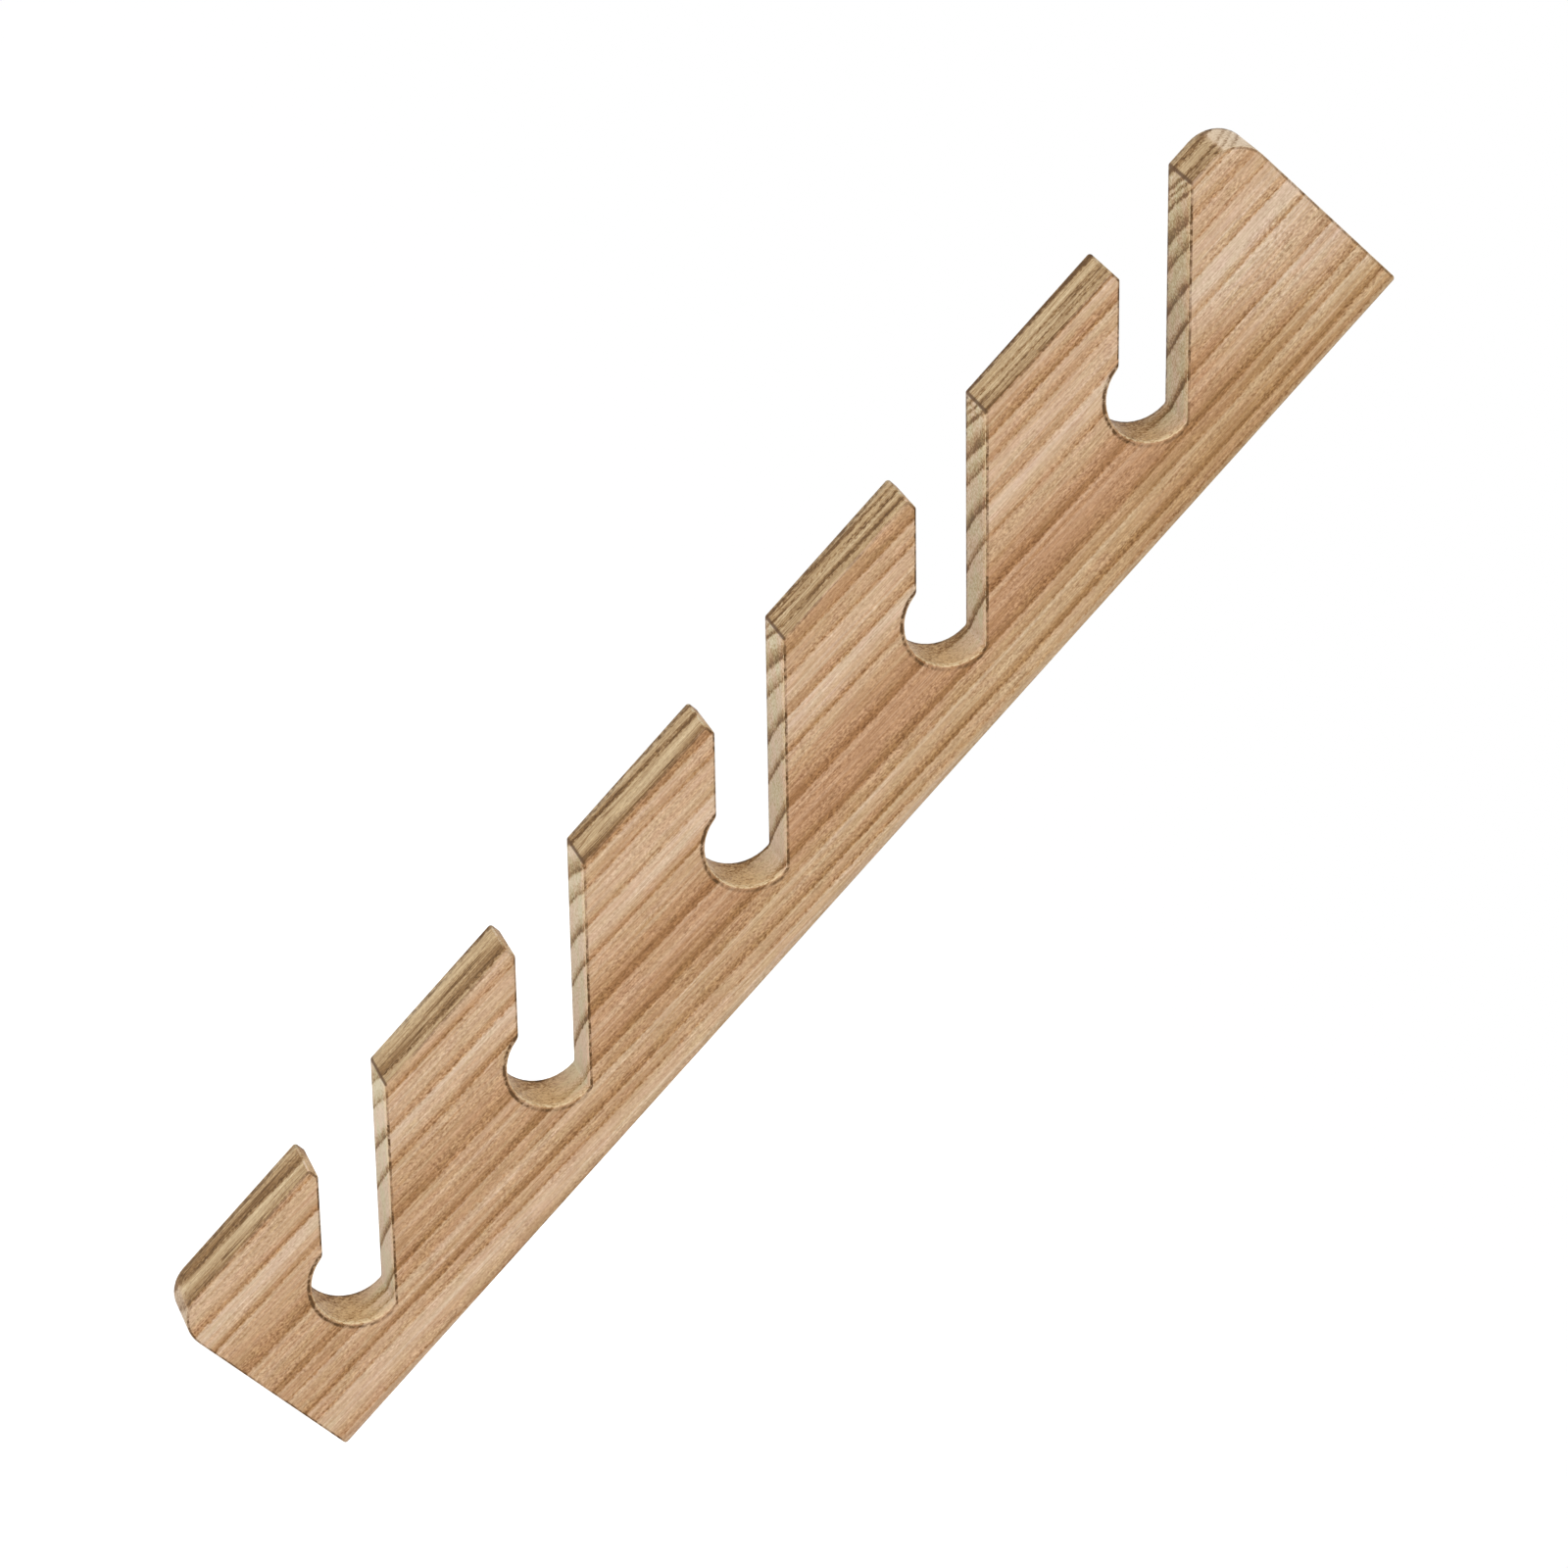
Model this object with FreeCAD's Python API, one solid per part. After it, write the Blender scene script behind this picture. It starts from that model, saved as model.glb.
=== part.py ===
import FreeCAD, Part
import math
import os

# Upright board of a wall rack for flutes, drumsticks and other sticks, with the two keyhole plates
# that hang it on the wall. A rack uses two such boards side by side, and a stick lies across both.
#
# Row frame: Z runs up the wall, +Y runs into the wall, +X leaves the board's front face.
# The origin is the middle of the edge that lies on the wall. All sizes are in millimetres.

# Board
RACK_LENGTH = 450.0  # height on the wall
RACK_DEPTH = 69.0  # from the wall to the fingertips
BOARD_THICKNESS = 18.0
OUTER_CORNER_RADIUS = 11.0  # the two corners away from the wall
ARRIS_RADIUS = 0.8  # sanded edges round both faces
CORNER_EASE = 0.2  # how much rounder than that the sharp corners of the outline are sanded

# Slots: each runs from the fingertips down and in, to a round pocket on its low side
SLOT_COUNT = 5
SLOT_PITCH = 84.6
SLOT_WIDTH = 20.5
SLOT_ANGLE = 45.0  # between the slot and the wall, in degrees
FIRST_SLOT_HEIGHT = 63.5  # where the first slot's low wall would reach the fingertips, from the lower end
POCKET_RADIUS = 13.9
WEB_DEPTH = 19.0  # wood left between the wall and a pocket
TIP_FLAT = 3.8  # blunt face on the sharp tip under each slot
LIP_RADIUS = 3.0  # where the low wall turns into the pocket
POCKET_CORNER_RADIUS = 1.6  # where the high wall meets the pocket

# Keyhole plates, let into the wall edge
SEAT_SPACING = 254.0  # between the two wall screws that carry the board
PLATE_THICKNESS = 1.6
PLATE_SIDE_RIM = 1.25  # steel left each side of the entry
PLATE_END_RIM = 1.0  # steel left past each screw head
PLATE_EDGE_CHAMFER = 0.2
PLATE_CLEARANCE = 0.3  # all round the plate in its recess
PLATE_SINK = 0.2  # how far the plate lies below the wall edge
ENTRY_DIAMETER = 9.5  # the wall screw's head goes in here
NECK_WIDTH = 5.0  # the wall screw's shank slides up here
NECK_RISE = 11.0  # from the entry's centre to the seat's centre
HEAD_ROOM_DEPTH = 8.0  # space behind the plate for the wall screw's head
HEAD_ROOM_CLEARANCE = 0.6  # how far that space stands outside the entry, all round

# Countersunk screws that hold the plates
SCREW_GAP = 2.9  # steel left between the keyhole and a screw head
SCREW_DIAMETER = 3.0
SCREW_HEAD_DIAMETER = 6.0
SCREW_LENGTH = 16.0
SCREW_TIP_LENGTH = 3.0
SCREW_CLEARANCE = 0.05  # round the shank and under the head
PILOT_SPARE_DEPTH = 1.0
CROSS_LENGTH = 3.4
CROSS_WIDTH = 0.8
CROSS_DEPTH = 1.1

FRONT_FACE = BOARD_THICKNESS / 2
BACK_FACE = -FRONT_FACE
SANDED_CORNER_RADIUS = ARRIS_RADIUS + CORNER_EASE
PLATE_FACE = -PLATE_SINK  # outer face of both plates, on Y
KEYHOLE_LENGTH = ENTRY_DIAMETER / 2 + NECK_RISE + NECK_WIDTH / 2
PLATE_SCREW_SPACING = KEYHOLE_LENGTH + 2 * SCREW_GAP + SCREW_HEAD_DIAMETER
PLATE_LENGTH = PLATE_SCREW_SPACING + SCREW_HEAD_DIAMETER + 2 * PLATE_END_RIM
PLATE_WIDTH = ENTRY_DIAMETER + 2 * PLATE_SIDE_RIM
SCREW_TAPER = (SCREW_HEAD_DIAMETER - SCREW_DIAMETER) / 2  # depth of a 90 degree countersunk head
AWAY = FreeCAD.Vector(0, -1, 0)  # out from the wall
TOUCH = 1e-6  # two sizes this close are the same


def on_back(height, depth):
    """A point of the board's back face: height above its lower end, and depth out from the wall."""
    return FreeCAD.Vector(BACK_FACE, -depth, height - RACK_LENGTH / 2)


class Outline:
    """A chain of lines and arcs in one plane."""

    def __init__(self, start):
        self.start = start
        self.end = start
        self.edges = []

    def line(self, point):
        self.edges.append(Part.LineSegment(self.end, point).toShape())
        self.end = point

    def arc(self, middle, point):
        self.edges.append(Part.Arc(self.end, middle, point).toShape())
        self.end = point

    def round_corner(self, corner, beyond, radius):
        """Runs straight towards a corner and turns it on an arc, to head for the point beyond."""
        back = (self.end - corner).normalize()
        ahead = (beyond - corner).normalize()
        half = back.getAngle(ahead) / 2
        bisector = (back + ahead).normalize()
        centre = corner + bisector * (radius / math.sin(half))
        reach = radius / math.tan(half)
        self.line(corner + back * reach)
        self.arc(centre - bisector * radius, corner + ahead * reach)

    def face(self):
        self.line(self.start)
        return Part.Face(Part.Wire(self.edges))


def slot_frame(number):
    """A slot's pocket centre, the way out along the slot, and the way across it to the low wall."""
    angle = math.radians(SLOT_ANGLE)
    low_wall_height = FIRST_SLOT_HEIGHT + number * SLOT_PITCH
    centre_depth = WEB_DEPTH + POCKET_RADIUS
    axis_height = low_wall_height + SLOT_WIDTH / 2 / math.sin(angle)
    centre_height = axis_height - (RACK_DEPTH - centre_depth) / math.tan(angle)
    out = FreeCAD.Vector(0, -math.sin(angle), math.cos(angle))
    low = FreeCAD.Vector(0, -math.cos(angle), -math.sin(angle))
    return on_back(centre_height, centre_depth), out, low


def mouth_heights(number):
    """Heights at which a slot's low and high walls would reach the fingertips."""
    low_wall = FIRST_SLOT_HEIGHT + number * SLOT_PITCH
    return low_wall, low_wall + SLOT_WIDTH / math.sin(math.radians(SLOT_ANGLE))


def add_slot(outline, number):
    """Takes the outline into a slot by its high wall, round the pocket, and out by its low wall."""
    centre, out, low = slot_frame(number)
    low_mouth, high_mouth = mouth_heights(number)
    half_width = SLOT_WIDTH / 2

    # high wall, and the small radius where it meets the pocket
    inner = POCKET_RADIUS - POCKET_CORNER_RADIUS
    across = half_width - POCKET_CORNER_RADIUS
    corner_centre = centre - out * math.sqrt(inner**2 - across**2) - low * across
    wall_end = corner_centre - low * POCKET_CORNER_RADIUS
    pocket_start = centre + (corner_centre - centre) * (POCKET_RADIUS / inner)
    corner_middle = ((wall_end + pocket_start) / 2 - corner_centre).normalize()
    outline.round_corner(on_back(high_mouth, RACK_DEPTH), wall_end, SANDED_CORNER_RADIUS)
    outline.line(wall_end)
    outline.arc(corner_centre + corner_middle * POCKET_CORNER_RADIUS, pocket_start)

    # pocket, and the rounded lip where it runs out into the low wall
    outer = POCKET_RADIUS + LIP_RADIUS
    across = half_width + LIP_RADIUS
    lip_centre = centre + out * math.sqrt(outer**2 - across**2) + low * across
    lip_start = centre + (lip_centre - centre) * (POCKET_RADIUS / outer)
    lip_end = lip_centre - low * LIP_RADIUS
    lip_middle = ((lip_start + lip_end) / 2 - lip_centre).normalize()
    pocket_middle = (low - out).normalize()
    outline.arc(centre + pocket_middle * POCKET_RADIUS, lip_start)
    outline.arc(lip_centre + lip_middle * LIP_RADIUS, lip_end)

    # low wall and the blunt tip
    tip_height = low_mouth - TIP_FLAT / math.tan(math.radians(SLOT_ANGLE))
    tip_inside = on_back(tip_height, RACK_DEPTH - TIP_FLAT)
    tip_outside = on_back(tip_height, RACK_DEPTH)
    outline.round_corner(tip_inside, tip_outside, SANDED_CORNER_RADIUS)
    outline.round_corner(tip_outside, on_back(0, RACK_DEPTH), SANDED_CORNER_RADIUS)


def board_outline():
    """The board's front view, from the middle of the wall edge and round by the upper end."""
    outline = Outline(on_back(RACK_LENGTH / 2, 0))
    wall_top = on_back(RACK_LENGTH, 0)
    outer_top = on_back(RACK_LENGTH, RACK_DEPTH)
    outer_bottom = on_back(0, RACK_DEPTH)
    wall_bottom = on_back(0, 0)
    outline.round_corner(wall_top, outer_top, SANDED_CORNER_RADIUS)
    outline.round_corner(outer_top, outer_bottom, OUTER_CORNER_RADIUS)
    for number in reversed(range(SLOT_COUNT)):
        add_slot(outline, number)
    outline.round_corner(outer_bottom, wall_bottom, OUTER_CORNER_RADIUS)
    outline.round_corner(wall_bottom, wall_top, SANDED_CORNER_RADIUS)
    return outline.face()


def lies_on_a_face(edge):
    """True for the edges round the front and the back face, which the sanding rounds."""
    box = edge.BoundBox
    return box.XLength < TOUCH and abs(abs(box.XMin) - FRONT_FACE) < TOUCH


def long_hole(centre_height, rise, radius, face, depth):
    """A cutter for a round-ended slot in the wall edge, from a face on Y and going away from the wall."""
    lower = FreeCAD.Vector(0, face, centre_height)
    upper = lower + FreeCAD.Vector(0, 0, rise)
    ends = [Part.makeCylinder(radius, depth, end, AWAY) for end in (lower, upper)]
    corner = FreeCAD.Vector(-radius, face - depth, centre_height)
    middle = Part.makeBox(2 * radius, depth, rise, corner)
    return ends[0].fuse([ends[1], middle]).removeSplitter()


def seat_heights():
    """Heights of the two wall screws once the board hangs on them."""
    return {"lower": -SEAT_SPACING / 2, "upper": SEAT_SPACING / 2}


def plate_middle(seat):
    """Height of a plate's middle, which is the middle of its keyhole."""
    return seat + NECK_WIDTH / 2 - KEYHOLE_LENGTH / 2


def screw_heights(seat):
    middle = plate_middle(seat)
    return [middle - PLATE_SCREW_SPACING / 2, middle + PLATE_SCREW_SPACING / 2]


def plate_recess(seat):
    """What is routed out of the wall edge for one plate: its bed, head room and pilot holes."""
    across = PLATE_WIDTH / 2
    straight = PLATE_LENGTH - PLATE_WIDTH
    bed_depth = PLATE_SINK + PLATE_THICKNESS
    start = plate_middle(seat) - straight / 2
    bed = long_hole(start, straight, across + PLATE_CLEARANCE, 0, bed_depth)
    room_radius = ENTRY_DIAMETER / 2 + HEAD_ROOM_CLEARANCE
    room = long_hole(seat - NECK_RISE, NECK_RISE, room_radius, 0, bed_depth + HEAD_ROOM_DEPTH)
    pilot_depth = SCREW_LENGTH + PLATE_SINK + PILOT_SPARE_DEPTH
    pilots = []
    for height in screw_heights(seat):
        mouth = FreeCAD.Vector(0, 0, height)
        radius = SCREW_DIAMETER / 2 + SCREW_CLEARANCE
        pilots.append(Part.makeCylinder(radius, pilot_depth, mouth, AWAY))
    return bed.fuse([room] + pilots)


def rack_board():
    blank = board_outline().extrude(FreeCAD.Vector(BOARD_THICKNESS, 0, 0))
    board = blank.makeFillet(ARRIS_RADIUS, [edge for edge in blank.Edges if lies_on_a_face(edge)])
    for seat in seat_heights().values():
        board = board.cut(plate_recess(seat))
    return board


def countersink(height, clearance):
    """A 90 degree cone that opens at the plate's outer face."""
    mouth = FreeCAD.Vector(0, PLATE_FACE, height)
    wide = SCREW_HEAD_DIAMETER / 2 + clearance
    narrow = SCREW_DIAMETER / 2 + clearance
    return Part.makeCone(wide, narrow, SCREW_TAPER, mouth, AWAY)


def keyhole_plate(seat):
    across = PLATE_WIDTH / 2
    straight = PLATE_LENGTH - PLATE_WIDTH
    start = plate_middle(seat) - straight / 2
    blank = long_hole(start, straight, across, PLATE_FACE, PLATE_THICKNESS)
    rim = [edge for edge in blank.Edges if abs(edge.BoundBox.YMin - PLATE_FACE) < TOUCH]
    plate = blank.makeChamfer(PLATE_EDGE_CHAMFER, rim)
    entry = FreeCAD.Vector(0, PLATE_FACE, seat - NECK_RISE)
    cutters = [Part.makeCylinder(ENTRY_DIAMETER / 2, PLATE_THICKNESS, entry, AWAY)]
    cutters.append(long_hole(entry.z, NECK_RISE, NECK_WIDTH / 2, PLATE_FACE, PLATE_THICKNESS))
    for height in screw_heights(seat):
        mouth = FreeCAD.Vector(0, PLATE_FACE, height)
        radius = SCREW_DIAMETER / 2 + SCREW_CLEARANCE
        cutters.append(Part.makeCylinder(radius, PLATE_THICKNESS, mouth, AWAY))
        cutters.append(countersink(height, SCREW_CLEARANCE))
    return plate.cut(cutters)


def cross_recess(height):
    """The driver's cross in a screw head."""
    arms = []
    for across, along in ((CROSS_LENGTH, CROSS_WIDTH), (CROSS_WIDTH, CROSS_LENGTH)):
        corner = FreeCAD.Vector(-across / 2, PLATE_FACE - CROSS_DEPTH, height - along / 2)
        arms.append(Part.makeBox(across, CROSS_DEPTH, along, corner))
    return arms[0].fuse(arms[1])


def plate_screw(height):
    top = FreeCAD.Vector(0, PLATE_FACE, height)
    shank_length = SCREW_LENGTH - SCREW_TIP_LENGTH
    shank = Part.makeCylinder(SCREW_DIAMETER / 2, shank_length, top, AWAY)
    tip = Part.makeCone(SCREW_DIAMETER / 2, 0, SCREW_TIP_LENGTH, top + AWAY * shank_length, AWAY)
    screw = shank.fuse([countersink(height, 0), tip])
    return screw.cut(cross_recess(height)).removeSplitter()


def plate_screws():
    heights = [height for seat in seat_heights().values() for height in screw_heights(seat)]
    return Part.makeCompound([plate_screw(height) for height in heights])


def main():
    os.makedirs("parts", exist_ok=True)
    nodes = {"rack_board": rack_board(), "plate_screws": plate_screws()}
    for name, seat in seat_heights().items():
        nodes[name + "_keyhole_plate"] = keyhole_plate(seat)
    for name, shape in nodes.items():
        shape.exportStep("parts/" + name + ".step")


main()
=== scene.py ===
import math
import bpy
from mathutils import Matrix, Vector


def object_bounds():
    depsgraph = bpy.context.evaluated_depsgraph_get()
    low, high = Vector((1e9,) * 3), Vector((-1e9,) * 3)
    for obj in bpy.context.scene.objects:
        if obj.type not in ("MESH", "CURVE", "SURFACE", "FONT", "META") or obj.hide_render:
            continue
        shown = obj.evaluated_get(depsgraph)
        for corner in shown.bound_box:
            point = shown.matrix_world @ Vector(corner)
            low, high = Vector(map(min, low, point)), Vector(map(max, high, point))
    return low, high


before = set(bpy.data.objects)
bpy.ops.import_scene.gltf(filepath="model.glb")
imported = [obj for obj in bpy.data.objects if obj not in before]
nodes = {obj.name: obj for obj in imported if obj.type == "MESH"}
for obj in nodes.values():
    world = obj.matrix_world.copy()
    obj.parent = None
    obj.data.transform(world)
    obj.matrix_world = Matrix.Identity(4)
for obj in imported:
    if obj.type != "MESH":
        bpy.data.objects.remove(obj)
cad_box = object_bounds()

from types import SimpleNamespace

import bpy
from mathutils import Matrix, Vector

# The scene is in metres and the wood is laid out in millimetres. Up the wall is +Z, into the wall +Y, and
# out of the board's front face +X.
MM = 0.001

# Camera: far off and a little above the middle, tilted so that the board runs up to the right. The angles
# are in degrees, the lens and its sensor in millimetres.
AIM = Vector((0.0, -0.03306, 0.00383))
AZIMUTH = 61.02
ELEVATION = 5.98
ROLL = -41.88
DISTANCE = 1.6394
LENS = 132.64
SENSOR = 36.0

# Room: white all round, with a white floor below the rack and large soft lamps, given by name, place, side
# and watts. ROOM_GAIN is the light on the front face, where 1 would show a surface in its own colour.
ROOM_BRIGHTNESS = 1.0
ROOM_GAIN = 1.34
FLOOR_DROP = 0.16
FLOOR_SIDE = 60.0
LAMPS = (
    ("key_lamp", (2.0, -1.0, 0.5), 1.2, 12.0),
    ("low_fill_lamp", (0.8, -1.5, -0.08), 0.8, 5.0),
    ("back_lamp", (-1.6, 1.3, 1.0), 1.2, 10.0),
)

# The board in millimetres. Heights are counted from its middle, depths from its front face. A heel is where
# a slot's high wall leaves the finger edge. Heels and pockets repeat up the board. The lowest of each stands
# here as its height and its distance from the wall.
THICKNESS = 2 * cad_box[1].x / MM
BOARD_DEPTH = -cad_box[0].y / MM
BOARD_TOP = cad_box[1].z / MM
SLOT_PITCH = 84.6
SLOT_WIDTH = 20.5
POCKET_RADIUS = 13.9
POCKET_FROM_WALL = 32.9
LOWEST_POCKET = (-183.1, POCKET_FROM_WALL)
LOWEST_HEEL = (-132.5, BOARD_DEPTH)

# The log. Growth is counted in millimetres from the wall edge, on the front face at the lower end. It rises
# with depth by RING_SLOPE, and with each 100 mm of height by GRAIN_LEAN, which GRAIN_BEND changes on the way
# up. All three change a little with the distance from the wall. GROWTH_SPAN holds all the rings below.
GROWTH_SPAN = 100.0
RING_SLOPE = 0.95
RING_SLOPE_FAN = -0.008
GRAIN_LEAN = 4.46
GRAIN_LEAN_FAN = -0.0165
GRAIN_BEND = -0.235
GRAIN_BEND_FAN = 0.006
GRAIN_BEND_CHANGE = -0.049

# Late wood: where each dark line starts, how dark it is, and how wide it is before it has faded.
LATE_LINES = (
    (3.0, 0.34, 5.0),
    (12.5, 0.30, 3.4),
    (16.4, 0.66, 3.0),
    (23.8, 0.32, 3.6),
    (28.0, 0.56, 3.6),
    (39.9, 0.64, 3.4),
    (52.2, 0.56, 2.6),
    (60.2, 0.58, 3.4),
    (68.8, 0.34, 3.4),
    (73.9, 0.52, 4.6),
    (80.4, 0.52, 1.5),
    (82.7, 0.30, 0.9),
    (84.3, 0.44, 1.2),
    (87.3, 0.62, 1.7),
    (90.2, 0.34, 1.1),
    (94.0, 0.50, 1.6),
)
LINES_PER_RAMP = 7
LINE_RISE = 0.3

# Open pores stand in a narrow row where each line starts: how far in, how wide, and how dark.
PORE_OFFSET = 0.1
PORE_WIDTH = 0.7
PORE_TONE = 0.5

# Tone of the wood between the lines, from 0, pale, to 1, dark, by growth.
TONE_BANDS = (
    (0.0, 0.30),
    (8.5, 0.14),
    (12.0, 0.22),
    (15.5, 0.30),
    (20.5, 0.42),
    (23.0, 0.20),
    (27.0, 0.42),
    (33.0, 0.54),
    (35.7, 0.30),
    (37.5, 0.48),
    (39.3, 0.28),
    (43.0, 0.60),
    (46.0, 0.50),
    (51.5, 0.28),
    (55.5, 0.22),
    (58.5, 0.00),
    (64.0, 0.24),
    (73.0, 0.26),
    (78.0, 0.30),
    (90.0, 0.28),
)

# A redder stain runs up the middle: the growth where it is strongest, and how far it reaches to each side.
STAIN_GROWTH = 36.0
STAIN_REACH = 12.0

# How much darker the stain and the upper part by the wall are, and how much paler the upper end is.
STAIN_TONE = 0.16
DARK_BY_WALL_TONE = 0.18
PALE_END_TONE = -0.26

# Noise in the wood: its cells for each millimetre of growth, along the ring and up the board, then its
# detail and its roughness.
RING_WANDER = ((0.03, 0.03, 0.014), 2.0, 0.5)
RAGGED_LINES = ((0.5, 0.4, 0.7), 3.0, 0.7)
LINE_PATCHES = ((0.1, 0.1, 0.02), 2.0, 0.5)
OPEN_PORES = ((0.9, 0.9, 0.75), 1.0, 0.5)
LONG_STREAKS = ((1.0, 0.25, 0.014), 3.0, 0.65)
FINE_STREAKS = ((2.6, 1.2, 0.08), 2.0, 0.6)
FUZZ = ((1.5, 1.5, 0.9), 1.5, 0.7)
FUZZ_PATCHES = ((0.25, 0.2, 0.05), 2.0, 0.5)
ROSE_PATCHES = ((0.35, 0.35, 0.10), 2.0, 0.6)
WARM_PATCHES = ((0.16, 0.16, 0.05), 2.0, 0.5)
CUT_SPECKLE = ((1.3, 1.3, 1.3), 2.0, 0.7)
POCKET_SPECKLE = ((0.9, 0.9, 0.8), 2.0, 0.7)
THIN_LINES = ((0.5, 0.4, 0.006), 1.0, 0.5)
# The next two break up the painted shade along the edges.
EDGE_SHADE_DASHES = ((0.6, 0.6, 0.5), 2.0, 0.7)
EDGE_SHADE_STRETCHES = ((0.05, 0.05, 0.05), 2.0, 0.5)
# The next one breaks up the painted highlight on the front edges.
EDGE_HIGHLIGHT_DOTS = ((0.9, 0.9, 0.9), 1.0, 0.5)

# How far the rings sway, in millimetres of growth, and how much tone the streaks, fuzz and speckles carry.
WANDER_REACH = 0.35
RAGGED_REACH = 0.40
LONG_STREAK_TONE = 0.26
FINE_STREAK_TONE = 0.24
FUZZ_TONE = 0.43
CUT_SPECKLE_TONE = 0.42
POCKET_SPECKLE_TONE = 0.5
THIN_LINE_TONE = 0.42

# How strongly late-wood lines and long streaks show on each cut.
LINES_ON_SLOT_WALLS = 1.2
LINES_IN_POCKETS = 0.3
LINES_ON_ENDS = 0.8
LINES_ON_FINGERS = 1.2
STREAKS_ON_CUTS = 0.5
STREAKS_ON_FINGERS = 1.5

# Bands along the edges where shade and highlight are painted, as (start, full) and (fading, gone). The first
# two lie on the rounded edge, by how far it has turned outward. The others are in millimetres, from a
# pocket's middle and from the wall.
EDGE_SHADE_BAND = ((0.30, 0.50), (0.985, 0.9995))
EDGE_HIGHLIGHT_BAND = ((0.04, 0.10), (0.32, 0.46))
POCKET_LINE_BAND = ((POCKET_RADIUS + 0.35, POCKET_RADIUS + 0.8), (POCKET_RADIUS + 1.1, POCKET_RADIUS + 1.8))
WALL_LINE_BAND = ((0.5, 0.9), (1.6, 2.6))

# Colours of each cut through the log, from pale to dark tone, as they look in the room, from 0 to 255.
FACE_SHADES = (
    (0.0, (214, 187, 160)),
    (0.13, (208, 177, 147)),
    (0.25, (202, 169, 136)),
    (0.40, (194, 158, 122)),
    (0.59, (184, 144, 106)),
    (0.78, (173, 132, 92)),
    (1.0, (153, 111, 70)),
)
SLOT_WALL_SHADES = (
    (0.0, (226, 207, 178)),
    (0.3, (208, 187, 155)),
    (0.5, (190, 163, 122)),
    (0.8, (154, 120, 76)),
    (1.0, (118, 86, 50)),
)
POCKET_SHADES = (
    (0.0, (226, 189, 138)),
    (0.3, (201, 163, 113)),
    (0.7, (157, 115, 67)),
    (1.0, (122, 82, 43)),
)
END_SHADES = (
    (0.0, (234, 211, 181)),
    (0.3, (216, 190, 158)),
    (0.7, (164, 134, 103)),
    (1.0, (126, 94, 62)),
)
FINGER_SHADES = (
    (0.0, (212, 186, 146)),
    (0.4, (184, 153, 111)),
    (0.75, (145, 109, 67)),
    (1.0, (112, 80, 44)),
)
# Painted shade along the rounded edges, and along the wall edge and the heels.
EDGE_SHADE_COLOUR = (94, 65, 34)
CORNER_SHADE_COLOUR = (100, 70, 40)
# Painted highlight on the rounded front edges and round the pockets.
EDGE_HIGHLIGHT_COLOUR = (240, 214, 170)

# Light that the fine fibres give back, and slight casts of colour, as factors on the wood's own colour.
PALE_FIBRE = (1.39, 1.47, 1.54, 1.0)
DARK_FIBRE = (0.61, 0.53, 0.46, 1.0)
STRAW_CAST = (0.975, 1.0, 0.93, 1.0)
ROSE_CAST = (1.03, 0.985, 1.0, 1.0)
COOL_CAST = (0.985, 1.015, 1.04, 1.0)
GREY_CAST = (0.97, 1.02, 0.96, 1.0)
WARM_CAST = (1.05, 0.98, 1.0, 1.0)
FRONT_CAST = (1.16, 1.06, 1.02, 1.0)

# Sockets of the zinc plating's node group.
SKIN_INPUTS = (
    ("Dull Shade", "NodeSocketColor"),
    ("Bright Shade", "NodeSocketColor"),
    ("Worn Shade", "NodeSocketColor"),
    ("Crystal Size", "NodeSocketFloat"),
    ("Smoothest", "NodeSocketFloat"),
    ("Roughest", "NodeSocketFloat"),
    ("Rubbing", "NodeSocketFloat"),
    ("Wear", "NodeSocketFloat"),
)
SKIN_OUTPUTS = (
    ("Colour", "NodeSocketColor"),
    ("Roughness", "NodeSocketFloat"),
    ("Height", "NodeSocketFloat"),
)
BARE_STEEL = (0.80, 0.81, 0.82, 1.0)


# Small helpers. Most of them add a node or two to a tree.


def colour(red, green, blue):
    """A colour as it looks in this room, from 0 to 255, as the share of light that the surface reflects."""
    def light(value):
        share = value / 255
        return (share / 12.92 if share <= 0.04045 else ((share + 0.055) / 1.055) ** 2.4) / ROOM_GAIN
    return (light(red), light(green), light(blue), 1.0)


def grey(value):
    return (value, value, value, 1.0)


def feed(tree, socket, value):
    """Links value into socket if it is another node's output, and sets it there otherwise."""
    if isinstance(value, bpy.types.NodeSocket):
        tree.links.new(value, socket)
    else:
        socket.default_value = value


def maths(tree, operation, *values):
    node = tree.nodes.new("ShaderNodeMath")
    node.operation = operation
    for socket, value in zip(node.inputs, values):
        feed(tree, socket, value)
    return node.outputs["Value"]


def chained(tree, operation, values):
    """The values taken together one after the other by the same operation."""
    result = values[0]
    for value in values[1:]:
        result = maths(tree, operation, result, value)
    return result


def total(tree, *values):
    return chained(tree, "ADD", values)


def product(tree, *values):
    return chained(tree, "MULTIPLY", values)


def highest(tree, *values):
    return chained(tree, "MAXIMUM", values)


def all_but(tree, share):
    return maths(tree, "SUBTRACT", 1.0, share)


def spread(tree, value, low, high, to_low=0.0, to_high=1.0, smooth=True):
    """Value moved from the range low..high to to_low..to_high, and held there outside it."""
    node = tree.nodes.new("ShaderNodeMapRange")
    node.interpolation_type = "SMOOTHSTEP" if smooth else "LINEAR"
    feed(tree, node.inputs["Value"], value)
    node.inputs["From Min"].default_value = low
    node.inputs["From Max"].default_value = high
    node.inputs["To Min"].default_value = to_low
    node.inputs["To Max"].default_value = to_high
    return node.outputs["Result"]


def fade(tree, value, low, high, lowest=0.0):
    """1 below low, falling to lowest at high."""
    return spread(tree, value, low, high, 1.0, lowest)


def between(tree, value, rise, fall):
    """1 between the ranges rise and fall, and 0 outside them."""
    return product(tree, spread(tree, value, *rise), fade(tree, value, *fall))


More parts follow.
